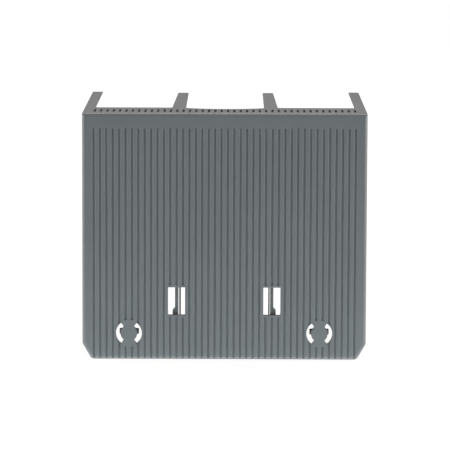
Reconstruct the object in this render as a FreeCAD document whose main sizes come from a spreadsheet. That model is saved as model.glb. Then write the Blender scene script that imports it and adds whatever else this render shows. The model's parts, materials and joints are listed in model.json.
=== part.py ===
import FreeCAD, Part
import math
import os
import re
import Sketcher

# Terminal cover of a three-pole circuit breaker, one thermoplastic moulding, in millimetres.
# The front plate stands upright across the three poles and looks towards -Y. Two side walls and two
# partitions run back from it, so that each pole has a bay of its own. A short roof joins them behind
# the plate's top edge, and carries on to the back as a rail along the top of each wall. The origin is
# in the middle of the footprint, on the bottom edge, with +Z up.

SIZES = [
    ("width", 140.0, "across the outer faces of the side walls"),
    ("height", 122.0, "from the bottom edge to the top of the roof"),
    ("depth", 118.5, "from the front face to the back ends of the side walls"),
    ("plate", 2.8, "thickness of the front plate"),
    ("side_wall", 2.0, "thickness of a side wall"),
    ("partition", 1.6, "thickness of a partition between two poles"),
    ("roof", 2.6, "thickness of the roof and of the rails"),
    ("partition_setback", 4.5, "how far the partitions stop short of the side walls at the back"),
    ("pole_pitch", 47.0, "from pole to pole, and so from partition to partition"),
    ("front_round", 1.3, "radius round the edge of the front face"),
    ("top_round", 0.4, "radius along the outer top edges"),
    ("corner_across", 4.5, "width of the cut on each lower corner"),
    ("corner_up", 7.8, "height of the cut on each lower corner"),
    ("corner_round", 2.5, "radius at both ends of that cut"),
    ("roof_depth", 31.5, "depth of the roof over the outer poles"),
    ("roof_depth_middle", 30.0, "depth of the roof beside the middle pole's arch"),
    ("roof_arch", 5.0, "how far the middle pole's edge arches forward"),
    ("side_rail", 5.4, "width of the rail on a side wall, with the wall"),
    ("rail_inward", 4.1, "reach of a partition's rail over the middle pole"),
    ("rail_outward", 2.9, "reach of that rail over the outer pole, at the roof"),
    ("rail_outward_end", 1.4, "the same reach, at the back end"),
    ("rail_edge", 0.6, "thickness of the rails along their bevelled edges"),
    ("opening_round", 1.5, "radius in the inner corners of the roof"),
    ("step_height", 38.0, "height of the shallow lower part, which lies over the breaker"),
    ("step_depth", 50.0, "depth of the walls in that lower part"),
    ("step_round", 6.0, "radius in the corner where the walls step back"),
    ("bead_out", 0.5, "how far the bead stands off the partition's face"),
    ("bead_thickness", 1.6, "thickness of the bead along the step's edge"),
    ("grooves_per_pole", 15, "groove spaces in one pole pitch"),
    ("plain_side", 5.0, "least width between the cover's side and the middle of the first groove"),
    ("plain_band", 7.0, "plain height below the top edge"),
    ("groove_mouth", 1.3, "width of a groove at the face"),
    ("groove_waist", 0.8, "width of a groove below its bevelled lips"),
    ("groove_floor", 0.6, "width of a groove at its floor"),
    ("groove_lip", 0.2, "depth of the bevelled lips"),
    ("groove_depth", 0.85, "depth of a groove"),
    ("groove_runout", 2.0, "height over which a groove fades out at the top"),
    ("groove_fade", 0.1, "size of the groove's section where it ends, as a share of the full one"),
    ("vent_width", 1.0, "width of a vent in the roof"),
    ("vent_length", 12.0, "length of a vent, from front to back"),
    ("vent_centre", 15.0, "middle of the vents, behind the front face"),
    ("window_width", 8.4, "width of a window in front of a partition"),
    ("window_height", 13.8, "height of a window"),
    ("window_sill", 22.2, "height of a window's lower edge"),
    ("window_margin", 1.1, "plain border round a window"),
    ("foot_out", 1.2, "how far a partition's thickened foot stands out"),
    ("foot_rise", 4.5, "height over which the foot tapers off, above the sill"),
    ("foot_length", 3.5, "length of the foot, from the plate to the back"),
    ("ring_height", 13.0, "height of the centre of the ring slots"),
    ("ring_outer", 6.4, "outer radius of the ring slots"),
    ("ring_inner", 4.1, "inner radius of the ring slots"),
    ("ring_span", 54.0, "angle of each slot above and below its middle, in degrees"),
    ("ring_margin", 0.5, "plain border round the ring slots"),
    ("stud_radius", 3.0, "radius of the stud behind each ring"),
    ("stud_reach", 3.9, "length of the stud between the plate and its head"),
    ("head_width", 9.6, "width of the stud's hammer head"),
    ("head_height", 2.7, "height of the head"),
    ("head_thickness", 2.0, "thickness of the head, from front to back"),
    ("overcut", 1.0, "how far a cut runs past the face it opens"),
]
NAMES = {entry[0] for entry in SIZES}

# How a sketch names the ends and the centre of an edge, and its own origin.
START, END, CENTRE = 1, 2, 3
SKETCH_ORIGIN = (-1, 1)

doc = FreeCAD.newDocument("terminal_cover")
sheet = doc.addObject("Spreadsheet::Sheet", "Sizes")
for line, (name, size, meaning) in enumerate(SIZES, 1):
    sheet.set(f"A{line}", name)
    sheet.set(f"B{line}", str(size))
    sheet.set(f"C{line}", meaning)
    sheet.setAlias(f"B{line}", name)
doc.recompute()

body = doc.addObject("PartDesign::Body", "TerminalCover")
body.Label = "terminal_cover"


def bound(formula):
    """The formula with the name of each size pointed at the sheet."""
    return re.sub(r"[a-z_]+", lambda word: f"Sizes.{word[0]}" if word[0] in NAMES else word[0], formula)


def origin_part(role):
    """The plane or axis of the cover's own origin that has this role."""
    return next(part for part in body.Origin.OriginFeatures if part.Role == role)


def sketch_on(plane, name, shift="0"):
    """A sketch on one of the origin's planes, moved along the plane's normal by the shift."""
    sketch = body.newObject("Sketcher::SketchObject", name)
    sketch.AttachmentSupport = [(origin_part(plane), "")]
    sketch.MapMode = "FlatFace"
    sketch.setExpression("AttachmentOffset.Base.z", bound(shift))
    return sketch


def tie(sketch, kind, geometry, formula):
    """Add a dimension to the sketch and bind it to the formula."""
    value = sketch.evalExpression(bound(formula))
    number = sketch.addConstraint(Sketcher.Constraint(kind, *geometry, value))
    name = f"size_{number}"
    sketch.renameConstraint(number, name)
    sketch.setExpression(f"Constraints.{name}", bound(formula))


def place_of(sketch, across, up):
    """The point in the sketch that two formulas give."""
    return FreeCAD.Vector(sketch.evalExpression(bound(across)), sketch.evalExpression(bound(up)), 0)


def arc_through(start, end, radius, left_turn):
    """The short arc from start to end; its centre is on the left where the path turns left."""
    chord = end - start
    reach = math.sqrt(max(radius**2 - (chord.Length / 2) ** 2, 0))
    aside = FreeCAD.Vector(-chord.y, chord.x, 0).normalize() * (reach if left_turn else -reach)
    centre = (start + end) / 2 + aside
    ends = [math.atan2(point.y - centre.y, point.x - centre.x) for point in (start, end)]
    if not left_turn:
        ends.reverse()
    return Part.ArcOfCircle(Part.Circle(centre, FreeCAD.Vector(0, 0, 1), radius), *ends)


def outline(sketch, corners, rounds=None):
    """Close a loop through the corners, each a formula across and a formula up, tied to the sheet.

    rounds holds the stretches that are arcs: the number of the corner where the arc starts, with a
    formula for its radius and whether the path turns left along it.
    """
    rounds = rounds or {}
    places = [place_of(sketch, across, up) for across, up in corners]
    begins = []
    finishes = []
    for number, start in enumerate(places):
        end = places[(number + 1) % len(places)]
        forward = True
        if number in rounds:
            formula, forward = rounds[number]
            radius = sketch.evalExpression(bound(formula))
            edge = sketch.addGeometry(arc_through(start, end, radius, left_turn=forward))
        else:
            edge = sketch.addGeometry(Part.LineSegment(start, end))
        begins.append((edge, START if forward else END))
        finishes.append((edge, END if forward else START))
    for number, (across, up) in enumerate(corners):
        begin = begins[number]
        sketch.addConstraint(Sketcher.Constraint("Coincident", *finishes[number - 1], *begin))
        tie(sketch, "DistanceX", (*SKETCH_ORIGIN, *begin), across)
        tie(sketch, "DistanceY", (*SKETCH_ORIGIN, *begin), up)
        if number in rounds:
            tie(sketch, "Radius", begin[:1], rounds[number][0])


def rectangle(sketch, left, right, low, high):
    """A rectangle between four formulas."""
    outline(sketch, [(left, low), (right, low), (right, high), (left, high)])


def mirrored(corners):
    """The same corners on the other side of the cover's middle plane."""
    return [(f"-({across})", up) for across, up in reversed(corners)]


def circle(sketch, across, up, radius):
    """A circle whose centre and radius are formulas."""
    radius_now = sketch.evalExpression(bound(radius))
    ring = Part.Circle(place_of(sketch, across, up), FreeCAD.Vector(0, 0, 1), radius_now)
    edge = sketch.addGeometry(ring)
    tie(sketch, "DistanceX", (*SKETCH_ORIGIN, edge, CENTRE), across)
    tie(sketch, "DistanceY", (*SKETCH_ORIGIN, edge, CENTRE), up)
    tie(sketch, "Radius", (edge,), radius)


def feature(kind, name, profile, length, backwards=False, both_ways=False):
    """A pad or a pocket of the profile, with its length bound to the sheet."""
    made = body.newObject(f"PartDesign::{kind}", name)
    made.Profile = profile
    made.SideType = "Symmetric" if both_ways else "One side"
    made.Reversed = backwards
    made.setExpression("Length", bound(length))
    profile.Visibility = False
    doc.recompute()
    return made


def rounded(name, base, chosen, radius):
    """Round the edges of the base that the chosen test picks."""
    base_edges = enumerate(base.Shape.Edges, 1)
    made = body.newObject("PartDesign::Fillet", name)
    made.Base = (base, [f"Edge{number}" for number, edge in base_edges if chosen(edge)])
    made.setExpression("Radius", bound(radius))
    doc.recompute()
    return made


def runs_along(edge, direction):
    """Whether the edge is straight and parallel to the direction."""
    if len(edge.Vertexes) != 2:
        return False
    span = edge.Vertexes[1].Point - edge.Vertexes[0].Point
    straight = abs(span.Length - edge.Length) < NEAR
    return straight and span.cross(direction).Length < NEAR


def size_of(name):
    """The value that the sheet holds for a size."""
    return float(sheet.get(name))


ALONG_Y, ALONG_Z = FreeCAD.Vector(0, 1, 0), FreeCAD.Vector(0, 0, 1)
NEAR = 1e-4

# The block that everything is cut from has the outline of the front: square above, with a cut across
# each lower corner. It runs back by the full depth. The four ends of the corner cuts are rounded.
front_outline = sketch_on("XZ_Plane", "FrontOutline")
outline(
    front_outline,
    [
        ("corner_across - width / 2", "0"),
        ("width / 2 - corner_across", "0"),
        ("width / 2", "corner_up"),
        ("width / 2", "height"),
        ("-width / 2", "height"),
        ("-width / 2", "corner_up"),
    ],
)
block = feature("Pad", "Block", front_outline, "depth", backwards=True)


def on_corner_cut(edge):
    """Whether the edge runs along the depth at an end of a lower corner cut."""
    return runs_along(edge, ALONG_Y) and edge.BoundBox.ZMax < size_of("height") - NEAR


def on_roof_edge(edge):
    """Whether the edge runs along the depth at the outer top corner."""
    return runs_along(edge, ALONG_Y) and edge.BoundBox.ZMin > size_of("height") - NEAR


def on_front_face(edge):
    """Whether the whole edge lies in the front face."""
    return edge.BoundBox.YMax < NEAR


block = rounded("CornerRounds", block, on_corner_cut, "corner_round")
block = rounded("TopRounds", block, on_roof_edge, "top_round")
block = rounded("FrontRound", block, on_front_face, "front_round")

# Three bays open to the back and to the bottom. What stays between them are the two partitions, and
# what stays outside them are the side walls, the front plate and the roof.
bays = sketch_on("XZ_Plane", "BayOutlines", "-plate")
partition_near = "(pole_pitch - partition) / 2"
partition_far = "(pole_pitch + partition) / 2"
bay_ceiling = "height - roof"
rectangle(bays, f"-{partition_near}", partition_near, "-overcut", bay_ceiling)
rectangle(bays, partition_far, "width / 2 - side_wall", "-overcut", bay_ceiling)
rectangle(bays, "side_wall - width / 2", f"-{partition_far}", "-overcut", bay_ceiling)
bay_cut = feature("Pocket", "Bays", bays, "depth")

# Behind its front strip the roof is open for the cables. The strips that stay are the rails along
# the walls, and the partitions' rails narrow towards the back. Over the middle pole the roof ends in
# a shallow arch.
openings = sketch_on("XY_Plane", "RoofOpenings", "height")
past_back = "depth + overcut"
outer_opening = [
    ("pole_pitch / 2 + rail_outward", "roof_depth"),
    ("width / 2 - side_rail", "roof_depth"),
    ("width / 2 - side_rail", past_back),
    ("pole_pitch / 2 + rail_outward_end", past_back),
    ("pole_pitch / 2 + rail_outward_end", "depth - partition_setback"),
]
middle_side = "pole_pitch / 2 - rail_inward"
arch_radius = f"(({middle_side})^2 + roof_arch^2) / (2 * roof_arch)"
middle_opening = [
    (f"-({middle_side})", "roof_depth_middle"),
    (middle_side, "roof_depth_middle"),
    (middle_side, past_back),
    (f"-({middle_side})", past_back),
]
outline(openings, outer_opening)
outline(openings, mirrored(outer_opening))
outline(openings, middle_opening, rounds={0: (arch_radius, True)})
roof_cut = feature("Pocket", "RoofCut", openings, "roof")


def in_roof_corner(edge):
    """Whether the edge is an inner corner where a rail leaves the roof."""
    box = edge.BoundBox
    upright = runs_along(edge, ALONG_Z) and box.ZMin > size_of("height") - size_of("roof") - NEAR
    near_strip = size_of("front_round") + NEAR < box.YMax < size_of("roof_depth") + NEAR
    return upright and near_strip


rounded("RoofCorners", roof_cut, in_roof_corner, "opening_round")


def bevel_under(edge):
    """The section cut from under a rail whose edge is this far out; it rises towards the edge."""
    return [
        (f"{edge} - overcut", f"{bay_ceiling} - overcut"),
        (f"{edge} + roof - rail_edge", f"{bay_ceiling} - overcut"),
        (f"{edge} + roof - rail_edge", bay_ceiling),
        (edge, "height - rail_edge"),
        (f"{edge} - overcut", "height - rail_edge"),
    ]


# Behind the roof, the rails are bevelled from below along their edges over the bays.
bevels = sketch_on("XZ_Plane", "RailBevels", "-(roof_depth + opening_round)")
for section in (bevel_under("width / 2 - side_rail"), bevel_under(middle_side)):
    outline(bevels, section)
    outline(bevels, mirrored(section))
feature("Pocket", "Bevels", bevels, "depth")

# The partitions and their rails stop a little in front of the side walls' back ends.
partition_ends = sketch_on("XY_Plane", "PartitionEnds", "height + overcut")
partitions_side = "pole_pitch / 2 + rail_inward"
rectangle(partition_ends, f"-({partitions_side})", partitions_side, "depth - partition_setback", past_back)
feature("Pocket", "PartitionCut", partition_ends, "height + 2 * overcut")

# The lower part lies over the breaker's own housing, so the walls step back there.
step = sketch_on("YZ_Plane", "StepOutline")
outline(
    step,
    [
        ("step_depth", "-overcut"),
        (past_back, "-overcut"),
        (past_back, "step_height"),
        ("step_depth + step_round", "step_height"),
        ("step_depth", "step_height - step_round"),
    ],
    rounds={3: ("step_round", True)},
)
feature("Pocket", "Step", step, "width + 2 * overcut", both_ways=True)

# A bead stiffens the back edge of each partition in the lower part, on the middle pole's side.
bead = [
    ("pole_pitch / 2 - partition / 2 - bead_out", "step_depth - bead_thickness"),
    ("pole_pitch / 2", "step_depth - bead_thickness"),
    ("pole_pitch / 2", "step_depth"),
    ("pole_pitch / 2 - partition / 2 - bead_out", "step_depth"),
]
beads = sketch_on("XY_Plane", "BeadOutlines")
outline(beads, bead)
outline(beads, mirrored(bead))
feature("Pad", "Beads", beads, "step_height - step_round")

# The foot of each partition is thicker on the outer pole's side, and tapers off behind the window.
foot = [
    ("pole_pitch / 2", "0"),
    (f"{partition_far} + foot_out", "0"),
    (f"{partition_far} + foot_out", "window_sill"),
    (partition_far, "window_sill + foot_rise"),
    ("pole_pitch / 2", "window_sill + foot_rise"),
]
feet = sketch_on("XZ_Plane", "FootOutlines", "-plate")
outline(feet, foot)
outline(feet, mirrored(foot))
feature("Pad", "Feet", feet, "foot_length", backwards=True)


def draw_windows(sketch, margin="0"):
    """The outline of the window in front of each partition, widened by the margin."""
    for side in ("-", ""):
        rectangle(
            sketch,
            f"{side}pole_pitch / 2 - window_width / 2 - {margin}",
            f"{side}pole_pitch / 2 + window_width / 2 + {margin}",
            f"window_sill - {margin}",
            f"window_sill + window_height + {margin}",
        )


def draw_ring_slots(sketch):
    """Two curved slots, like a pair of brackets, round a disc in front of each outer pole."""
    for centre in ("-pole_pitch", "pole_pitch"):
        for side, left_turn in (("+", True), ("-", False)):
            arc_ends = [
                (
                    f"{centre} {side} {radius} * cos(ring_span)",
                    f"ring_height {way} {radius} * sin(ring_span)",
                )
                for radius, way in (
                    ("ring_outer", "-"),
                    ("ring_outer", "+"),
                    ("ring_inner", "+"),
                    ("ring_inner", "-"),
                )
            ]
            arcs = {0: ("ring_outer", left_turn), 2: ("ring_inner", not left_turn)}
            outline(sketch, arc_ends, rounds=arcs)


# A window opens the plate in front of each partition, whose edge divides it in two.
windows = sketch_on("XZ_Plane", "WindowOutlines")
draw_windows(windows)
feature("Pocket", "Windows", windows, "plate")

rings = sketch_on("XZ_Plane", "RingSlots")
draw_ring_slots(rings)
feature("Pocket", "Rings", rings, "plate")

# Behind each disc a stud reaches into the bay, with a hammer head that locks in the breaker. The
# slots in front of the head's ends are where the mould formed them.
studs = sketch_on("XZ_Plane", "StudOutlines", "-plate")
heads = sketch_on("XZ_Plane", "HeadOutlines", "-(plate + stud_reach)")
for side in ("-", ""):
    circle(studs, f"{side}pole_pitch", "ring_height", "stud_radius")
    rectangle(
        heads,
        f"{side}pole_pitch - head_width / 2",
        f"{side}pole_pitch + head_width / 2",
        "ring_height - head_height / 2",
        "ring_height + head_height / 2",
    )
feature("Pad", "Studs", studs, "stud_reach", backwards=True)
feature("Pad", "Heads", heads, "head_thickness", backwards=True)

# A groove runs up the front from the bottom edge. In section its lips are bevelled, and its sides
# close towards the floor. Below the plain band it fades out. The grooves are spaced so that one runs
# over the middle of each partition, and there are as many as the front has room for.
groove_spacing = "pole_pitch / grooves_per_pole"
groove_gaps = f"floor((width - 2 * plain_side) / ({groove_spacing}))"
row_width = f"{groove_gaps} * {groove_spacing}"
first_groove = f"-{row_width} / 2"


def groove_section(name, up, widths, depths):
    """A section across the groove at one height, from its open side in front to its floor."""
    section = sketch_on("XY_Plane", name, up)
    left = [(f"{first_groove} - {wide} / 2", deep) for wide, deep in zip(widths, depths)]
    right = [(f"{first_groove} + {wide} / 2", deep) for wide, deep in zip(widths, depths)]
    outline(section, left + right[::-1])
    return section


groove_top = "height - plain_band"
full_height = f"{groove_top} - groove_runout"
section_widths = ("groove_mouth", "groove_mouth", "groove_waist", "groove_floor")
section_depths = ("-overcut", "0", "groove_lip", "groove_depth")
faded_widths = [f"{wide} * groove_fade" for wide in section_widths]
faded_depths = [f"{deep} * groove_fade" for deep in section_depths]
full_section = groove_section("GrooveSection", full_height, section_widths, section_depths)
faded_section = groove_section("FadedSection", groove_top, faded_widths, faded_depths)
groove = feature("Pocket", "Groove", full_section, f"{full_height} + overcut")
runout = body.newObject("PartDesign::SubtractiveLoft", "GrooveRunout")
runout.Profile = full_section
runout.Sections = [faded_section]
runout.Ruled = True
doc.recompute()

# Over each groove the roof has a narrow vent, in line with it.
vent = sketch_on("XY_Plane", "VentOutline", "height")
rectangle(
    vent,
    f"{first_groove} - vent_width / 2",
    f"{first_groove} + vent_width / 2",
    "vent_centre - vent_length / 2",
    "vent_centre + vent_length / 2",
)
vent_cut = feature("Pocket", "Vent", vent, "roof")

groove_row = body.newObject("PartDesign::LinearPattern", "GrooveRow")
groove_row.Originals = [groove, runout, vent_cut]
groove_row.Direction = (origin_part("X_Axis"), [""])
groove_row.setExpression("Length", bound(row_width))
groove_row.setExpression("Occurrences", bound(f"{groove_gaps} + 1"))
body.Tip = groove_row
doc.recompute()

# The grooves stop at a plain border round each window and each ring.
borders = sketch_on("XZ_Plane", "PlainBorders")
draw_windows(borders)
draw_windows(borders, "window_margin")
draw_ring_slots(borders)
for side in ("-", ""):
    circle(borders, f"{side}pole_pitch", "ring_height", "ring_outer + ring_margin")
feature("Pad", "Borders", borders, "plate", backwards=True)

# The features are drawn from the front face; the origin lies in the middle of the footprint.
body.setExpression("Placement.Base.y", bound("-depth / 2"))
doc.recompute()

for item in doc.Objects:
    if "Invalid" in item.State or "Error" in item.State:
        raise RuntimeError(f"{item.Name} failed: {item.State}")
if body.Shape.isNull() or not body.Shape.isValid() or len(body.Shape.Solids) != 1:
    raise RuntimeError("the terminal cover isn't one valid solid")

os.makedirs("parts", exist_ok=True)
body.Shape.exportStep(f"parts/{body.Label}.step")
box = body.Shape.BoundBox
print(f"{body.Label}: {box.XLength:.2f} x {box.YLength:.2f} x {box.ZLength:.2f} mm")
print(f"volume {body.Shape.Volume / 1000:.2f} cm3, centre of mass {body.Shape.CenterOfGravity}")
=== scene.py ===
# %% [markdown]
# # A moulded terminal cover
# A terminal cover slips over the terminals of a three-pole circuit breaker, so that nobody can touch
# the live screws and the cables stay apart. It is one piece of moulded plastic: a grooved front plate,
# two side walls, two partitions, and a short roof with vents. This lesson models that one piece, gives
# it its plastic, and sets it on a pale floor under soft light.
#
# The cover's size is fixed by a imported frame, which this script loads first. Everything is in metres,
# with the front looking towards -Y and the bottom edge on the floor.

# %% Load the frame
import json
import math

import bmesh
import bpy
from mathutils import Matrix, Vector

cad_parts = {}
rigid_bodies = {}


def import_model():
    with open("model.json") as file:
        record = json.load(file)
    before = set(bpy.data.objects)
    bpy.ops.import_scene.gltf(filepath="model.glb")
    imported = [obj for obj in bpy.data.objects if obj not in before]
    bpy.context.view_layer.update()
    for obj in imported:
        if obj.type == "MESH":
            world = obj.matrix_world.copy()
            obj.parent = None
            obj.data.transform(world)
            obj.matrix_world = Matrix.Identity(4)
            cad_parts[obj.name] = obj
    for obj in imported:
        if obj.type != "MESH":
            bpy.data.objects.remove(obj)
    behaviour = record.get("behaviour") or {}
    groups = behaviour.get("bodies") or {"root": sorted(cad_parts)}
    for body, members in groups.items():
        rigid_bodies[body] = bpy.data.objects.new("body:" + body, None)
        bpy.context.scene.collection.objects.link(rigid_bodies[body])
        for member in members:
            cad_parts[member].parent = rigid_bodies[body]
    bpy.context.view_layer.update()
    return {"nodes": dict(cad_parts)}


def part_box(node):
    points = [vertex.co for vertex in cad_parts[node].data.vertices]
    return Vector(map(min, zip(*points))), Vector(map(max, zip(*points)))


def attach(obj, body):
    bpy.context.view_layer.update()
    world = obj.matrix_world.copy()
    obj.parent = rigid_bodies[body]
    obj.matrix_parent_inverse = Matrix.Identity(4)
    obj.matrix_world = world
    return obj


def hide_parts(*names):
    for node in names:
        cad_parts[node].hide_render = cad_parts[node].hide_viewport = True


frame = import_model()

print("the frame's pieces:", sorted(frame["nodes"]))

# %% [markdown]
# ## Sizes
# A moulded part is designed from a few driving sizes: how wide it is, how thick its walls are and how
# far apart the poles lie. The outer size is read from the frame, and the rest is named here once, so
# that every later step can lean on the same values.

# %% Driving sizes
MM = 0.001
low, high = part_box("terminal_cover")
WIDTH = high.x - low.x
HEIGHT = high.z - low.z
FRONT, BACK = low.y, high.y
PLATE = 2.8 * MM
SIDE_WALL = 2.0 * MM
PARTITION = 1.6 * MM
ROOF = 2.6 * MM
POLE_PITCH = 47 * MM
OVERCUT = 1 * MM
PAST_BACK = BACK + OVERCUT
print(f"the cover is {WIDTH / MM:.1f} x {(BACK - FRONT) / MM:.1f} x {HEIGHT / MM:.1f} mm")


def behind(distance):
    """The place on Y that lies so far behind the front face."""
    return FRONT + distance


# %% [markdown]
# ## Bars of any section
# Nearly every surface of this moulding is an outline pushed along one axis: the block, the bays, the
# windows. Primitive cubes could be stacked for that, but they can't have rounded corners of a known
# radius. So one helper rounds an outline's corners, and a second one makes a closed bar from it.
#
# The cover is the same on both sides of its middle plane. So outlines are drawn for the right side, and
# a third helper mirrors them to the left.

# %% Outlines with rounded corners
ARC_STEPS = 6


def rounded(corners, inset=0.0):
    """The outline through (across, up, radius) corners, rounded, and drawn inwards by the inset."""
    points = []
    for number, (across, up, radius) in enumerate(corners):
        before = Vector(corners[number - 1][:2])
        corner = Vector((across, up))
        after = Vector(corners[(number + 1) % len(corners)][:2])
        way_in = (corner - before).normalized()
        way_out = (after - corner).normalized()
        left_in = Vector((-way_in.y, way_in.x))
        left_out = Vector((-way_out.y, way_out.x))
        corner += inset * (left_in + left_out) / (1 + left_in.dot(left_out))
        if radius == 0:
            points.append(corner)
            continue
        turn = math.atan2(way_out.dot(left_in), way_out.dot(way_in))
        radius = max(radius - inset, 0)
        start = corner - way_in * radius * math.tan(abs(turn) / 2)
        centre = start + left_in * math.copysign(radius, turn)
        for step in range(ARC_STEPS + 1):
            spoke = Matrix.Rotation(turn * step / ARC_STEPS, 2) @ (start - centre)
            points.append(centre + spoke)
    return points


def rectangle(left, right, bottom, top, radius=0.0):
    """The corners of a rectangle, all with the same radius."""
    return [(left, bottom, radius), (right, bottom, radius), (right, top, radius), (left, top, radius)]


def mirrored(corners):
    """The same corners on the other side of the cover's middle plane."""
    return [(-across, up, radius) for across, up, radius in reversed(corners)]


BOTH_SIDES = (list, mirrored)  # list leaves the corners on the right side, where they are drawn

# %% Closed bars
# How a place along the bar, and a point of its outline, become x, y and z.
PLACES = {
    "X": lambda along, across, up: (along, across, up),
    "Y": lambda along, across, up: (across, along, up),
    "Z": lambda along, across, up: (across, up, along),
}
SAME_POINT = 1e-7


def add_object(name, builder):
    """Turn finished mesh data into an object of the scene."""
    mesh = bpy.data.meshes.new(name)
    builder.to_mesh(mesh)
    builder.free()
    made = bpy.data.objects.new(name, mesh)
    bpy.context.scene.collection.objects.link(made)
    return made


def bar(name, axis, corners, levels):
    """A closed bar along an axis; each level is a place along it, with the outline's inset there."""
    builder = bmesh.new()
    rings = []
    for along, inset in levels:
        places = [PLACES[axis](along, *point) for point in rounded(corners, inset)]
        rings.append([builder.verts.new(place) for place in places])
    builder.faces.new(rings[0])
    builder.faces.new(rings[-1])
    for near, far in zip(rings, rings[1:]):
        for number in range(len(near)):
            builder.faces.new((near[number - 1], near[number], far[number], far[number - 1]))
    bmesh.ops.remove_doubles(builder, verts=builder.verts, dist=SAME_POINT)
    bmesh.ops.recalc_face_normals(builder, faces=builder.faces)
    return add_object(name, builder)


def straight_bar(name, axis, corners, start, end):
    """A bar with the same outline from start to end."""
    return bar(name, axis, corners, [(start, 0), (end, 0)])


# %% [markdown]
# ## Cutting and joining
# A mould shapes a solid by taking some volumes away and adding others, and a Boolean modifier does the
# same. Modelling each wall by hand would leave seams where walls meet. With Booleans the result stays
# one closed skin, just as the real cover is one piece.
#
# Most cutters pass the faces that they open by a small overcut, because two faces in one place can
# leave a thin skin behind.

# %% Boolean helpers


def settle(piece):
    """Make what the piece's modifiers show its own mesh, and remove the modifiers."""
    shown = piece.evaluated_get(bpy.context.evaluated_depsgraph_get())
    made = bpy.data.meshes.new_from_object(shown)
    before = piece.data
    piece.modifiers.clear()
    piece.data = made
    bpy.data.meshes.remove(before)


def combine(piece, operation, tools):
    """Cut the tools out of the piece, or join them to it, and delete them."""
    for tool in tools:
        modifier = piece.modifiers.new(tool.name, "BOOLEAN")
        modifier.operation = operation
        modifier.solver = "MANIFOLD"
        modifier.object = tool
    settle(piece)
    for tool in tools:
        bpy.data.objects.remove(tool)
    print(f"{piece.name}: {len(piece.data.polygons)} faces after {operation.lower()}")


# %% [markdown]
# ## The block
# Seen from the front, the cover is square above and has a small cut across each lower corner, which
# helps it slide into place. The edge of the front face is rounded all the way round, and catches the
# light as a thin bright line. The round is made by the bar's first levels: each lies a little deeper,
# and its outline is drawn in a little less, along a quarter circle.

# %% Make the block
CORNER_ACROSS = 4.5 * MM
CORNER_UP = 7.8 * MM
CORNER_ROUND = 2.5 * MM
TOP_ROUND = 0.4 * MM
FRONT_ROUND = 2.0 * MM
ROUND_STEPS = 8

right_half = [
    (WIDTH / 2 - CORNER_ACROSS, 0, CORNER_ROUND),
    (WIDTH / 2, CORNER_UP, CORNER_ROUND),
    (WIDTH / 2, HEIGHT, TOP_ROUND),
]
block_levels = [(BACK, 0)]
for step in range(ROUND_STEPS + 1):
    angle = math.pi / 2 * step / ROUND_STEPS
    depth = FRONT_ROUND * (1 - math.sin(angle))
    inset = FRONT_ROUND * (1 - math.cos(angle))
    block_levels.append((behind(depth), inset))
block_levels.reverse()
cover = bar("terminal_cover_moulding", "Y", right_half + mirrored(right_half), block_levels)
print(f"the block has {len(cover.data.polygons)} faces")

# %% [markdown]
# ## Bays, roof and step
# Three bays open to the back, one for each pole, and what stays between them are the walls. Behind its
# front strip the roof is open for the cables, so only a rail is left along the top of each wall. Over
# the middle pole the strip ends in a shallow arch. In their lower part the walls step back, because
# there the cover lies over the breaker itself.

# %% Cut the bays
PARTITION_NEAR = (POLE_PITCH - PARTITION) / 2
PARTITION_FAR = (POLE_PITCH + PARTITION) / 2
middle_bay = rectangle(-PARTITION_NEAR, PARTITION_NEAR, -OVERCUT, HEIGHT - ROOF)
right_bay = rectangle(PARTITION_FAR, WIDTH / 2 - SIDE_WALL, -OVERCUT, HEIGHT - ROOF)
bays = [
    straight_bar("bay", "Y", corners, behind(PLATE), PAST_BACK)
    for corners in (middle_bay, right_bay, mirrored(right_bay))
]
combine(cover, "DIFFERENCE", bays)

# %% Open the roof
ROOF_DEPTH = 31.5 * MM
ROOF_DEPTH_MIDDLE = 30 * MM
ROOF_ARCH = 5 * MM
SIDE_RAIL = 5.4 * MM
RAIL_INWARD = 4.1 * MM
RAIL_OUTWARD = 2.9 * MM
RAIL_OUTWARD_END = 1.4 * MM
PARTITION_SETBACK = 4.5 * MM
OPENING_ROUND = 1.5 * MM
ARCH_STEPS = 16

rail_side = POLE_PITCH / 2 + RAIL_OUTWARD
rail_side_end = POLE_PITCH / 2 + RAIL_OUTWARD_END
outer_opening = [
    (rail_side, behind(ROOF_DEPTH), OPENING_ROUND),
    (WIDTH / 2 - SIDE_RAIL, behind(ROOF_DEPTH), OPENING_ROUND),
    (WIDTH / 2 - SIDE_RAIL, PAST_BACK, 0),
    (rail_side_end, PAST_BACK, 0),
    (rail_side_end, BACK - PARTITION_SETBACK, 0),
]
arch_side = POLE_PITCH / 2 - RAIL_INWARD
arch_radius = (arch_side**2 + ROOF_ARCH**2) / (2 * ROOF_ARCH)
arch_turn = math.asin(arch_side / arch_radius)
middle_opening = [(arch_side, PAST_BACK, 0), (-arch_side, PAST_BACK, 0)]
for step in range(ARCH_STEPS + 1):
    angle = arch_turn * (2 * step / ARCH_STEPS - 1)
    forward = arch_radius * (math.cos(angle) - math.cos(arch_turn))
    radius = OPENING_ROUND if step in (0, ARCH_STEPS) else 0
    middle_opening.append((arch_radius * math.sin(angle), behind(ROOF_DEPTH_MIDDLE - forward), radius))
openings = [
    straight_bar("roof_opening", "Z", corners, HEIGHT - ROOF - OVERCUT, HEIGHT + OVERCUT)
    for corners in (outer_opening, mirrored(outer_opening), middle_opening)
]
combine(cover, "DIFFERENCE", openings)

# %% Bevel the rails from below, and end the partitions
RAIL_EDGE = 0.6 * MM
bevel_start = behind(ROOF_DEPTH + OPENING_ROUND)


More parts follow.
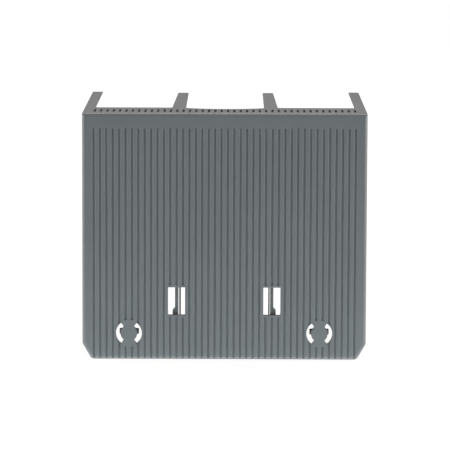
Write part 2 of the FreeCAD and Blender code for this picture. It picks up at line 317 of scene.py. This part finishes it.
def bevel_under(edge):
    """The corners of what is cut from under a rail whose edge is this far out."""
    far = edge + ROOF - RAIL_EDGE
    ceiling = HEIGHT - ROOF
    return [
        (edge - OVERCUT, ceiling - OVERCUT, 0),
        (far, ceiling - OVERCUT, 0),
        (far, ceiling, 0),
        (edge, HEIGHT - RAIL_EDGE, 0),
        (edge - OVERCUT, HEIGHT - RAIL_EDGE, 0),
    ]


end_side = POLE_PITCH / 2 + RAIL_INWARD
partition_end = rectangle(-end_side, end_side, BACK - PARTITION_SETBACK, PAST_BACK)
trims = [straight_bar("partition_end", "Z", partition_end, -OVERCUT, HEIGHT + OVERCUT)]
for edge in (WIDTH / 2 - SIDE_RAIL, arch_side):
    for side in BOTH_SIDES:
        trims.append(straight_bar("rail_bevel", "Y", side(bevel_under(edge)), bevel_start, PAST_BACK))
combine(cover, "DIFFERENCE", trims)

# %% Step the walls back
STEP_HEIGHT = 38 * MM
STEP_DEPTH = 50 * MM
STEP_ROUND = 6 * MM
step_outline = [
    (behind(STEP_DEPTH), -OVERCUT, 0),
    (PAST_BACK, -OVERCUT, 0),
    (PAST_BACK, STEP_HEIGHT, 0),
    (behind(STEP_DEPTH), STEP_HEIGHT, STEP_ROUND),
]
half_cut = WIDTH / 2 + OVERCUT
combine(cover, "DIFFERENCE", [straight_bar("step", "X", step_outline, -half_cut, half_cut)])

# %% [markdown]
# ## Ribs on the partitions
# A thin wall that ends free would warp as it cools, so it gets a bead along that edge, and a thicker
# foot where it meets the plate. The foot narrows to the wall just above the sill of the window, where
# its slope can be seen. Both are plain bars that are joined to the wall.

# %% Beads and feet
BEAD_OUT = 0.5 * MM
BEAD_THICKNESS = 1.6 * MM
FOOT_OUT = 1.2 * MM
FOOT_STRAIGHT = 2.1 * MM
FOOT_RISE = 3.3 * MM
FOOT_LENGTH = 3.5 * MM
WINDOW_SILL = 22.2 * MM

bead_back = behind(STEP_DEPTH)
bead = rectangle(PARTITION_NEAR - BEAD_OUT, POLE_PITCH / 2, bead_back - BEAD_THICKNESS, bead_back)
foot = [
    (POLE_PITCH / 2, 0, 0),
    (PARTITION_FAR + FOOT_OUT, 0, 0),
    (PARTITION_FAR + FOOT_OUT, WINDOW_SILL + FOOT_STRAIGHT, 0),
    (PARTITION_FAR, WINDOW_SILL + FOOT_RISE, 0),
    (POLE_PITCH / 2, WINDOW_SILL + FOOT_RISE, 0),
]
ribs = []
for side in BOTH_SIDES:
    ribs.append(straight_bar("bead", "Z", side(bead), 0, STEP_HEIGHT - STEP_ROUND))
    ribs.append(straight_bar("foot", "Y", side(foot), behind(PLATE), behind(PLATE + FOOT_LENGTH)))
combine(cover, "UNION", ribs)

# %% [markdown]
# ## Windows and ring slots
# A window opens the plate in front of each partition, so its edge shows as a divider. Lower down, a
# pair of curved slots stands round a disc on each outer pole. They are where the mould reached through
# the plate to form the hammer head behind it. The slots' cutters pass the plate's back. Those of the
# windows end with it, so that the partition stays whole behind them.

# %% Windows and ring slots
WINDOW_WIDTH = 8.4 * MM
WINDOW_HEIGHT = 13.8 * MM
RING_HEIGHT = 13.0 * MM
RING_OUTER = 6.4 * MM
RING_INNER = 4.1 * MM
RING_SPAN = math.radians(54)
RING_STEPS = 12


def window(margin=0.0):
    """The corners of the right window, with a margin round it."""
    half = WINDOW_WIDTH / 2 + margin
    bottom = WINDOW_SILL - margin
    top = WINDOW_SILL + WINDOW_HEIGHT + margin
    return rectangle(POLE_PITCH / 2 - half, POLE_PITCH / 2 + half, bottom, top)


def ring_slot(turned):
    """The corners of one slot of the right ring: round its outer arc, and back round its inner one."""
    corners = []
    for radius, way in ((RING_OUTER, 1), (RING_INNER, -1)):
        for step in range(RING_STEPS + 1):
            angle = turned + way * RING_SPAN * (2 * step / RING_STEPS - 1)
            across = POLE_PITCH + radius * math.cos(angle)
            corners.append((across, RING_HEIGHT + radius * math.sin(angle), 0))
    return corners


cuts = []
for side in BOTH_SIDES:
    cuts.append(straight_bar("window_cut", "Y", side(window()), behind(-OVERCUT), behind(PLATE)))
    for turned in (0, math.pi):
        slot = side(ring_slot(turned))
        cuts.append(straight_bar("slot_cut", "Y", slot, behind(-OVERCUT), behind(PLATE + OVERCUT)))
combine(cover, "DIFFERENCE", cuts)

# %% [markdown]
# ## Soft edges
# A Bevel modifier limited by angle rounds every edge that turns by more than a third of a right angle,
# inner corners too, where a real mould has a fillet. First the flat faces that the Booleans left in
# pieces are joined, so that no bevel runs across an open wall.

# %% Round the edges
EDGE_ROUND = 0.22 * MM
EDGE_SEGMENTS = 2
FLAT = math.radians(1)
SHARP = math.radians(30)


def join_flat_faces(piece):
    """Merge doubles, and join the faces that lie in one plane."""
    builder = bmesh.new()
    builder.from_mesh(piece.data)
    bmesh.ops.remove_doubles(builder, verts=builder.verts, dist=SAME_POINT)
    bmesh.ops.dissolve_limit(builder, angle_limit=FLAT, verts=builder.verts, edges=builder.edges)
    builder.to_mesh(piece.data)
    builder.free()


join_flat_faces(cover)
softener = cover.modifiers.new("Soft edges", "BEVEL")
softener.limit_method = "ANGLE"
softener.angle_limit = SHARP
softener.width = EDGE_ROUND
softener.segments = EDGE_SEGMENTS
softener.use_clamp_overlap = False
settle(cover)
print(f"{cover.name}: {len(cover.data.polygons)} faces with soft edges")

# %% [markdown]
# ## Studs with hammer heads
# Behind each disc stands a stud with a bar across its end, a hammer head, which passes a keyhole in
# the breaker and locks the cover on it. Where the round stud meets the flat head, its rim leaves
# corners too sharp for the Bevel modifier. So both bars bring their own chamfers, and join the cover
# after the other edges are rounded.

# %% Studs and heads
STUD_RADIUS = 3.0 * MM
STUD_REACH = 3.9 * MM
HEAD_WIDTH = 9.6 * MM
HEAD_HEIGHT = 2.7 * MM
HEAD_THICKNESS = 2.0 * MM
CIRCLE_STEPS = 40


def circle(radius):
    """The corners of a circle round the right ring's centre."""
    turns = [math.tau * step / CIRCLE_STEPS for step in range(CIRCLE_STEPS)]
    return [
        (POLE_PITCH + radius * math.cos(turn), RING_HEIGHT + radius * math.sin(turn), 0) for turn in turns
    ]


head = rectangle(
    POLE_PITCH - HEAD_WIDTH / 2,
    POLE_PITCH + HEAD_WIDTH / 2,
    RING_HEIGHT - HEAD_HEIGHT / 2,
    RING_HEIGHT + HEAD_HEIGHT / 2,
    EDGE_ROUND,
)
head_front = behind(PLATE + STUD_REACH)
head_back = head_front + HEAD_THICKNESS
stud_levels = [(behind(PLATE - OVERCUT), 0), (head_front - EDGE_ROUND, 0), (head_front, EDGE_ROUND)]
head_levels = [
    (head_front, EDGE_ROUND),
    (head_front + EDGE_ROUND, 0),
    (head_back - EDGE_ROUND, 0),
    (head_back, EDGE_ROUND),
]
studs = []
for side in BOTH_SIDES:
    studs.append(bar("stud", "Y", side(circle(STUD_RADIUS)), stud_levels))
    studs.append(bar("head", "Y", side(head), head_levels))
combine(cover, "UNION", studs)

# %% [markdown]
# ## Grooves and vents
# The front is ribbed by 42 grooves, and above each of them the roof has a vent in line with it. This
# is the cover's character, and it is what repeats, so Geometry Nodes make it: one groove cutter and
# one vent cutter are shaped from a cube's rows of points, placed along a line, and cut out. The
# grooves stop at a plain border round each window and ring, so those borders are first cut out of
# the cutters.

# %% Helpers that add and feed a node
MATH = "ShaderNodeMath"  # the node that calculates, under this name in every kind of tree


def feed(tree, socket, source):
    """Link a socket, or a node's first output, to an input. Any other source is the input's value."""
    if isinstance(source, bpy.types.Node):
        source = source.outputs[0]
    if isinstance(source, bpy.types.NodeSocket):
        tree.links.new(source, socket)
    else:
        socket.default_value = source


def add_node(tree, kind, sources=None, **settings):
    """Add a node with its settings, and feed its inputs, which are given by name or number."""
    node = tree.nodes.new(kind)
    for setting, value in settings.items():
        setattr(node, setting, value)
    for key, source in (sources or {}).items():
        feed(tree, node.inputs[key], source)
    return node


# %% The plain borders
WINDOW_MARGIN = 1.1 * MM
RING_MARGIN = 0.5 * MM
border_front = behind(-3 * OVERCUT)  # well in front of the groove cutters
borders = bpy.data.collections.new("plain_borders")
for side in BOTH_SIDES:
    for corners in (window(WINDOW_MARGIN), circle(RING_OUTER + RING_MARGIN)):
        border = straight_bar("border", "Y", side(corners), border_front, behind(PLATE))
        bpy.context.scene.collection.objects.unlink(border)
        borders.objects.link(border)
bpy.context.scene.collection.children.link(borders)

# %% Sizes of the grooves and vents
GROOVES_PER_POLE = 15
PLAIN_SIDE = 5.0 * MM
GROOVE_SPACING = POLE_PITCH / GROOVES_PER_POLE
GROOVE_COUNT = math.floor((WIDTH - 2 * PLAIN_SIDE) / GROOVE_SPACING) + 1
groove_sizes = {
    "Spacing": GROOVE_SPACING,
    "Front": FRONT,
    "Mouth Width": 2.3 * MM,
    "Lip Width": 1.7 * MM,
    "Throat Width": 1.15 * MM,
    "Waist Width": 0.8 * MM,
    "Floor Width": 0.6 * MM,
    "Lip Depth": 0.09 * MM,
    "Throat Depth": 0.25 * MM,
    "Waist Depth": 0.45 * MM,
    "Groove Depth": 0.85 * MM,
    "Groove Top": HEIGHT - 7 * MM,
    "Run-out": 0.8 * MM,
    "Run-out Scale": 0.1,
    "Vent Width": 1.0 * MM,
    "Vent Length": 12 * MM,
    "Vent Centre": behind(15 * MM),
    "Vent Flare": 0.1 * MM,
    "Roof Top": HEIGHT,
    "Roof Underside": HEIGHT - ROOF,
    "Overcut": OVERCUT,
}
print(f"{GROOVE_COUNT} grooves, {GROOVE_SPACING / MM:.2f} mm apart")

# %% The tree and its inputs
tree = bpy.data.node_groups.new("Grooves and vents", "GeometryNodeTree")
sockets = {}
socket_kinds = {"Cover": "Geometry", "Borders": "Collection", "Plastic": "Material", "Count": "Int"}
for name, kind in socket_kinds.items():
    sockets[name] = tree.interface.new_socket(name, in_out="INPUT", socket_type=f"NodeSocket{kind}")
for name in groove_sizes:
    sockets[name] = tree.interface.new_socket(name, in_out="INPUT", socket_type="NodeSocketFloat")
tree.interface.new_socket("Cover", in_out="OUTPUT", socket_type="NodeSocketGeometry")
given = add_node(tree, "NodeGroupInput").outputs
position = add_node(tree, "GeometryNodeInputPosition")
cube_place = add_node(tree, "ShaderNodeSeparateXYZ", {0: position}).outputs
print(f"the tree has {len(sockets)} inputs")

# %% A cutter from a cube's rows of points


def one_of(levels, axis, values):
    """Pick a value by the cube's level of points along an axis, counted from the low side."""
    scaling = {0: cube_place[axis], 1: levels - 1, 2: (levels - 1) / 2}
    level = add_node(tree, MATH, scaling, operation="MULTIPLY_ADD")
    whole_level = add_node(tree, MATH, {0: level}, operation="ROUND")
    switch = add_node(tree, "GeometryNodeIndexSwitch", data_type="FLOAT")
    while len(switch.index_switch_items) < levels:
        switch.index_switch_items.new()
    feed(tree, switch.inputs["Index"], whole_level)
    for number, value in enumerate(values, start=1):
        feed(tree, switch.inputs[number], value)
    return switch


def cutter(levels_deep, levels_high, across, deep, high):
    """A cube whose rows of points are moved to the places that three sources give."""
    cube = add_node(
        tree,
        "GeometryNodeMeshCube",
        {"Size": (1, 1, 1), "Vertices X": 2, "Vertices Y": levels_deep, "Vertices Z": levels_high},
    )
    place = add_node(tree, "ShaderNodeCombineXYZ", {"X": across, "Y": deep, "Z": high})
    return add_node(tree, "GeometryNodeSetPosition", {"Geometry": cube, "Position": place})


# %% One groove
GROOVE_LEVELS_DEEP = 6
GROOVE_LEVELS_HIGH = 3
widths = ("Mouth Width", "Mouth Width", "Lip Width", "Throat Width", "Waist Width", "Floor Width")
depths = ("Lip Depth", "Throat Depth", "Waist Depth", "Groove Depth")
outside = add_node(tree, MATH, {0: given["Overcut"], 1: -1}, operation="MULTIPLY")
full_up_to = add_node(tree, MATH, {0: given["Groove Top"], 1: given["Run-out"]}, operation="SUBTRACT")
groove_width = one_of(GROOVE_LEVELS_DEEP, "Y", [given[name] for name in widths])
groove_depth = one_of(GROOVE_LEVELS_DEEP, "Y", [outside, 0.0] + [given[name] for name in depths])
fade = one_of(GROOVE_LEVELS_HIGH, "Z", [1.0, 1.0, given["Run-out Scale"]])
faded_width = add_node(tree, MATH, {0: groove_width, 1: fade}, operation="MULTIPLY")
groove = cutter(
    GROOVE_LEVELS_DEEP,
    GROOVE_LEVELS_HIGH,
    add_node(tree, MATH, {0: cube_place["X"], 1: faded_width}, operation="MULTIPLY"),
    add_node(tree, MATH, {0: groove_depth, 1: fade, 2: given["Front"]}, operation="MULTIPLY_ADD"),
    one_of(GROOVE_LEVELS_HIGH, "Z", [outside, full_up_to, given["Groove Top"]]),
)

# %% One vent
VENT_LEVELS_DEEP = 2
VENT_LEVELS_HIGH = 4
flare = one_of(VENT_LEVELS_HIGH, "Z", [0.0, 0.0, given["Vent Flare"], given["Vent Flare"]])
vent_width = add_node(tree, MATH, {0: flare, 1: 2, 2: given["Vent Width"]}, operation="MULTIPLY_ADD")
vent_length = add_node(tree, MATH, {0: flare, 1: 2, 2: given["Vent Length"]}, operation="MULTIPLY_ADD")
vent_sources = {0: cube_place["Y"], 1: vent_length, 2: given["Vent Centre"]}
under_roof = add_node(tree, MATH, {0: given["Roof Underside"], 1: given["Overcut"]}, operation="SUBTRACT")
flare_bottom = add_node(tree, MATH, {0: given["Roof Top"], 1: given["Vent Flare"]}, operation="SUBTRACT")
over_roof = add_node(tree, MATH, {0: given["Roof Top"], 1: given["Overcut"]}, operation="ADD")
vent = cutter(
    VENT_LEVELS_DEEP,
    VENT_LEVELS_HIGH,
    add_node(tree, MATH, {0: cube_place["X"], 1: vent_width}, operation="MULTIPLY"),
    add_node(tree, MATH, vent_sources, operation="MULTIPLY_ADD"),
    one_of(VENT_LEVELS_HIGH, "Z", [under_roof, flare_bottom, given["Roof Top"], over_roof]),
)

# %% The rows, cut out of the cover
gaps = add_node(tree, MATH, {0: given["Count"], 1: 1}, operation="SUBTRACT")
row_width = add_node(tree, MATH, {0: gaps, 1: given["Spacing"]}, operation="MULTIPLY")
first = add_node(tree, MATH, {0: row_width, 1: -0.5}, operation="MULTIPLY")
line = add_node(
    tree,
    "GeometryNodeMeshLine",
    {
        "Count": given["Count"],
        "Start Location": add_node(tree, "ShaderNodeCombineXYZ", {"X": first}),
        "Offset": add_node(tree, "ShaderNodeCombineXYZ", {"X": given["Spacing"]}),
    },
)
rows = []
for shape in (groove, vent):
    placed = add_node(tree, "GeometryNodeInstanceOnPoints", {"Points": line, "Instance": shape})
    rows.append(add_node(tree, "GeometryNodeRealizeInstances", {0: placed}))
groove_row, vent_row = rows
border_info = add_node(
    tree, "GeometryNodeCollectionInfo", {"Collection": given["Borders"]}, transform_space="RELATIVE"
)
border_solids = add_node(tree, "GeometryNodeRealizeInstances", {0: border_info})
way_to_cut = {"operation": "DIFFERENCE", "solver": "MANIFOLD"}
groove_cutters = add_node(
    tree, "GeometryNodeMeshBoolean", {"Mesh 1": groove_row, "Mesh 2": border_solids}, **way_to_cut
)
cut = add_node(tree, "GeometryNodeMeshBoolean", {"Mesh 1": given["Cover"]}, **way_to_cut)
for cutters in (groove_cutters, vent_row):
    feed(tree, cut.inputs["Mesh 2"], cutters)
whole = add_node(tree, "GeometryNodeRealizeInstances", {0: cut})
coated = add_node(tree, "GeometryNodeSetMaterial", {"Geometry": whole, "Material": given["Plastic"]})
add_node(tree, "NodeGroupOutput", {0: coated})
print(f"the tree has {len(tree.nodes)} nodes")

# %% [markdown]
# ## The plastic
# Covers like this are injection moulded in glass-filled polyamide, a nylon that stays stiff and doesn't
# burn. The mould's steel is spark-eroded, so the skin is finely grained and matte, with a soft sheen at
# low angles. That calls for a plain dielectric with an even, rather high roughness, a small bump from
# the grain, and a barely visible cloudiness where the melt flowed. Only the bays are smooth: the core
# that forms them is polished, so that it can be drawn out.

# %% Helpers for materials


def linear(code):
    """A colour written as an sRGB hex value, turned to linear light."""
    parts = [int(code[start : start + 2], 16) / 255 for start in (0, 2, 4)]
    return [part / 12.92 if part <= 0.04045 else ((part + 0.055) / 1.055) ** 2.4 for part in parts] + [1.0]


def empty_nodes(owner):
    """The node tree of a material or a world, emptied."""
    owner.use_nodes = True
    owner.node_tree.nodes.clear()
    return owner.node_tree


# %% Glass-filled polyamide, spark-eroded finish
GRAIN = 0.5 * MM  # the real grain is near 0.1 mm, too fine to show here, so it is drawn coarser
GRAIN_DEPTH = 0.03 * MM
FLOW = 28 * MM
DARK_FLOW = "626b6e"
LIGHT_FLOW = "687174"
LEAST_ROUGH = 0.44
MOST_ROUGH = 0.54
POLISHED_ROUGHNESS = 0.12
OUTER_SHARE = 0.9  # the share of a wall's thickness, from outside, that the polish doesn't reach
PAST_PLATE = 0.1 * MM


def in_the_bays(nodes, place):
    """A source that is 1 behind the plate, under the roof and between the side walls, and 0 outside."""
    across, deep, high = add_node(nodes, "ShaderNodeSeparateXYZ", {0: place}).outputs
    from_middle = add_node(nodes, MATH, {0: across}, operation="ABSOLUTE")
    tests = (
        (from_middle, "LESS_THAN", WIDTH / 2 - OUTER_SHARE * SIDE_WALL),
        (deep, "GREATER_THAN", behind(PLATE + PAST_PLATE)),
        (high, "LESS_THAN", HEIGHT - OUTER_SHARE * ROOF),
    )
    found = 1.0
    for source, operation, limit in tests:
        passed = add_node(nodes, MATH, {0: source, 1: limit}, operation=operation)
        found = add_node(nodes, MATH, {0: found, 1: passed}, operation="MULTIPLY")
    return found


def glass_filled_polyamide():
    """Blue-grey moulded plastic with a spark-eroded, matte skin."""
    material = bpy.data.materials.new("glass_filled_polyamide_spark_eroded")
    nodes = empty_nodes(material)
    place = add_node(nodes, "ShaderNodeTexCoord").outputs["Object"]
    grain = add_node(
        nodes, "ShaderNodeTexNoise", {"Vector": place, "Scale": 1 / GRAIN, "Detail": 3.0, "Roughness": 0.6}
    )
    flow = add_node(
        nodes, "ShaderNodeTexNoise", {"Vector": place, "Scale": 1 / FLOW, "Detail": 2.0, "Distortion": 0.6}
    )
    cloud = add_node(
        nodes,
        "ShaderNodeMix",
        {"Factor": flow, "A": linear(DARK_FLOW), "B": linear(LIGHT_FLOW)},
        data_type="RGBA",
    )
    grained = add_node(
        nodes, "ShaderNodeMapRange", {"Value": grain, "To Min": LEAST_ROUGH, "To Max": MOST_ROUGH}
    )
    roughness = add_node(
        nodes, "ShaderNodeMix", {"Factor": in_the_bays(nodes, place), "A": grained, "B": POLISHED_ROUGHNESS}
    )
    bump = add_node(nodes, "ShaderNodeBump", {"Strength": 0.25, "Distance": GRAIN_DEPTH, "Height": grain})
    skin = {
        "Base Color": cloud.outputs["Result"],
        "Roughness": roughness.outputs["Result"],
        "IOR": 1.53,
        "Normal": bump,
    }
    shader = add_node(nodes, "ShaderNodeBsdfPrincipled", skin)
    add_node(nodes, "ShaderNodeOutputMaterial", {"Surface": shader})
    return material


plastic = glass_filled_polyamide()
print("made", plastic.name)

# %% [markdown]
# ## Run the tree
# The tree now goes on the cover as a modifier. Blender keeps a modifier's inputs under each socket's
# identifier, not under its name, so they are set that way. The result is made a plain mesh, and the
# borders and the tree, which have done their work, are deleted.

# %% Cut the grooves and vents
pattern = cover.modifiers.new("Grooves and vents", "NODES")
pattern.node_group = tree
pattern[sockets["Borders"].identifier] = borders
pattern[sockets["Plastic"].identifier] = plastic
pattern[sockets["Count"].identifier] = GROOVE_COUNT
for name, size in groove_sizes.items():
    pattern[sockets[name].identifier] = size
cover.update_tag()
settle(cover)
for border in list(borders.objects):
    bpy.data.objects.remove(border)
bpy.data.collections.remove(borders)
bpy.data.node_groups.remove(tree)
print(f"{cover.name}: {len(cover.data.polygons)} faces with grooves and vents")

# %% [markdown]
# ## Smooth shading
# The larger rounds are made of narrow flat faces, which smooth shading blends into one another. Edges
# of more than thirty degrees stay sharp. The Weighted Normal modifier then lets the largest face at
# each point set the way it shades, so that the flat walls look flat right up to their edges.

# %% Smooth the round faces only
LARGEST_FACE_WINS = 100
for face in cover.data.polygons:
    face.use_smooth = True
cover.data.set_sharp_from_angle(angle=SHARP)
evener = cover.modifiers.new("Even shading", "WEIGHTED_NORMAL")
evener.keep_sharp = True
evener.weight = LARGEST_FACE_WINS
print(f"{cover.name}: {sum(edge.use_edge_sharp for edge in cover.data.edges)} edges stay sharp")

# %% [markdown]
# ## Hand the piece to the frame
# The finished moulding takes the place of the frame's plain solid, and goes wherever that solid's body
# goes. The cover has no joints, so there is one body, named root.

# %% Ride on the frame
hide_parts("terminal_cover")
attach(cover, "root")
print(f"{cover.name} stands for the frame's solid")

# %% [markdown]
# ## The floor and the sky
# The cover stands on white paper that runs far out on all sides. For the light it is plain pale paper,
# but what the camera and reflections see of it is lifted to white by some emission, so that only a
# faint shadow is left. The sky shows white to the camera too, and gives almost no light.

# %% The floor
FLOOR_REACH = 6.0
PAPER = "e6e6e6"
SHADED_PAPER = "6a6a6a"
GLOW_NEAR = 0.91  # a little weaker round the cover, where its shadow falls
GLOW_FAR = 1.0
GLOW_NEAR_REACH = 0.1
GLOW_FAR_REACH = 0.5
WHITE = linear("ffffff")


def seen_directly(nodes):
    """A source that is 1 for what the camera, a reflection or a refraction sees, and 0 for light."""
    ray = add_node(nodes, "ShaderNodeLightPath").outputs
    seen = ray["Is Camera Ray"]
    for kind in ("Is Glossy Ray", "Is Transmission Ray"):
        seen = add_node(nodes, MATH, {0: seen, 1: ray[kind]}, operation="MAXIMUM")
    return seen


def white_paper():
    """Pale paper for the light, and nearly pure white for the eye."""
    material = bpy.data.materials.new("white_paper")
    nodes = empty_nodes(material)
    place = add_node(nodes, "ShaderNodeTexCoord").outputs["Object"]
    away = add_node(nodes, "ShaderNodeVectorMath", {0: place}, operation="LENGTH").outputs["Value"]
    reaches = {"Value": away, "From Min": GLOW_NEAR_REACH, "From Max": GLOW_FAR_REACH}
    lift = add_node(nodes, "ShaderNodeMapRange", {**reaches, "To Min": GLOW_NEAR, "To Max": GLOW_FAR})
    glow = add_node(nodes, "ShaderNodeEmission", {"Color": WHITE, "Strength": lift})
    shaded = add_node(nodes, "ShaderNodeBsdfDiffuse", {"Color": linear(SHADED_PAPER)})
    lifted = add_node(nodes, "ShaderNodeAddShader", {0: shaded, 1: glow})
    paper = add_node(nodes, "ShaderNodeBsdfDiffuse", {"Color": linear(PAPER)})
    mixed = add_node(nodes, "ShaderNodeMixShader", {0: seen_directly(nodes), 1: paper, 2: lifted})
    add_node(nodes, "ShaderNodeOutputMaterial", {"Surface": mixed})
    return material


builder = bmesh.new()
bmesh.ops.create_grid(builder, x_segments=1, y_segments=1, size=FLOOR_REACH)
floor = add_object("floor", builder)
floor.data.materials.append(white_paper())
print(f"the floor reaches {FLOOR_REACH:.0f} m to each side")

# %% The sky
SKY_LIGHT = 0.02
SKY_SEEN = 1.0
world = bpy.data.worlds.new("pale_studio")
bpy.context.scene.world = world
sky_nodes = empty_nodes(world)
to_camera = add_node(sky_nodes, "ShaderNodeLightPath").outputs["Is Camera Ray"]
lighting_sky = add_node(sky_nodes, "ShaderNodeBackground", {"Color": WHITE, "Strength": SKY_LIGHT})
white_sky = add_node(sky_nodes, "ShaderNodeBackground", {"Color": WHITE, "Strength": SKY_SEEN})
sky = add_node(sky_nodes, "ShaderNodeMixShader", {0: to_camera, 1: lighting_sky, 2: white_sky})
add_node(sky_nodes, "ShaderNodeOutputWorld", {"Surface": sky})
print("made", world.name)

# %% [markdown]
# ## The light
# Grooves this shallow only show where the light comes from the sides. So two soft boxes stand low at
# the left and right, and brush the shoulders of every rib, while the bottoms of the grooves stay dark.
# Two more, beside the cover, draw the bright lines along its side edges. One from behind and above
# lights the roof and the rails, and a weak one from the front fills the plate.
#
# Bright paper before a real cover throws light back up at it. Two soft lights on the floor do that, and
# the camera doesn't see them: a wide panel lifts the plate's lower part, and a narrow strip at its foot
# draws the line along the bottom edge.

# %% The soft boxes
CENTRE = Vector((0, 0, HEIGHT / 2))
SOFTBOXES = {
    "high_front": {"place": (0.0, -1.1, 1.3), "sides": (1.2, 0.8), "power": 7.0, "colour": "ffffff"},
    "high_back": {"place": (0.0, 0.8, 1.2), "sides": (1.2, 0.8), "power": 14.2, "colour": "fff3ef"},
    "left": {"place": (-1.0, 0.08, 0.35), "sides": (0.8, 0.7), "power": 8.2, "colour": "fff5f0"},
    "right": {"place": (1.0, 0.08, 0.35), "sides": (0.8, 0.7), "power": 8.6, "colour": "fff5f0"},
    "low_left": {"place": (-1.1, -0.45, 0.15), "sides": (0.5, 0.25), "power": 3.1, "colour": "ffffff"},
    "low_right": {"place": (1.1, -0.45, 0.15), "sides": (0.5, 0.25), "power": 3.7, "colour": "ffffff"},
}


def softbox(name, place, aim, sides, power, colour):
    """A rectangular soft light at a place, turned towards its aim."""
    data = bpy.data.lights.new(name, "AREA")
    data.shape = "RECTANGLE"
    data.size, data.size_y = sides
    data.energy = power
    data.color = linear(colour)[:3]
    light = bpy.data.objects.new(name, data)
    light.location = place
    light.rotation_euler = (Vector(aim) - Vector(place)).to_track_quat("-Z", "Y").to_euler()
    bpy.context.scene.collection.objects.link(light)
    return light


for name, settings in SOFTBOXES.items():
    softbox(f"{name}_softbox", aim=CENTRE, **settings)
print(f"{len(SOFTBOXES)} soft boxes")

# %% The lights on the floor
PANEL_WIDTH = 0.3
PANEL_LIFT = 0.1 * MM
PANEL_OVERLAP = 0.8 * MM  # how far both reach under the round of the front edge
UP = Vector((0, 0, 1))
FLOOR_LIGHTS = {
    "floor_panel": {"reach": 110 * MM, "power": 0.087, "colour": "ffffff"},
    "floor_strip": {"reach": 3 * MM, "power": 0.0024, "colour": "ffeee8"},
}
for name, panel in FLOOR_LIGHTS.items():
    reach = panel["reach"]
    place = Vector((0, behind(PANEL_OVERLAP - reach / 2), PANEL_LIFT))
    light = softbox(name, place, place + UP, (PANEL_WIDTH, reach), panel["power"], panel["colour"])
    light.visible_camera = False
print(f"{len(FLOOR_LIGHTS)} lights on the floor")

# %% [markdown]
# ## The camera
# The photograph was taken with a long lens from well in front, a little above the cover and almost
# square to it. The distance, the lens and the small turns below come from fitting the cover's own
# corners to the photograph.

# %% Place the camera
SENSOR = 36.0
LENS = 249.32  # this and the sensor are in millimetres, as Blender takes them
CAMERA_PLACE = Vector((5.38 * MM, behind(-1517.37 * MM), 269.03 * MM))
PITCH_DOWN = math.radians(7.579)
YAW_RIGHT = math.radians(-0.1925)
ROLL = math.radians(0.194)

camera_data = bpy.data.cameras.new("camera")
camera_data.sensor_fit = "HORIZONTAL"
camera_data.sensor_width = SENSOR
camera_data.lens = LENS
camera_data.clip_start = 0.05
camera_data.clip_end = 50
camera = bpy.data.objects.new("camera", camera_data)
turned = Matrix.Rotation(-YAW_RIGHT, 4, "Z")
tilted = Matrix.Rotation(math.pi / 2 - PITCH_DOWN, 4, "X")
rolled = Matrix.Rotation(ROLL, 4, "Z")
camera.matrix_world = Matrix.Translation(CAMERA_PLACE) @ turned @ tilted @ rolled
bpy.context.scene.collection.objects.link(camera)
bpy.context.scene.camera = camera
bpy.context.scene.view_settings.view_transform = "Standard"
print(f"the camera stands {FRONT - CAMERA_PLACE.y:.2f} m in front, with a {LENS:.0f} mm lens")
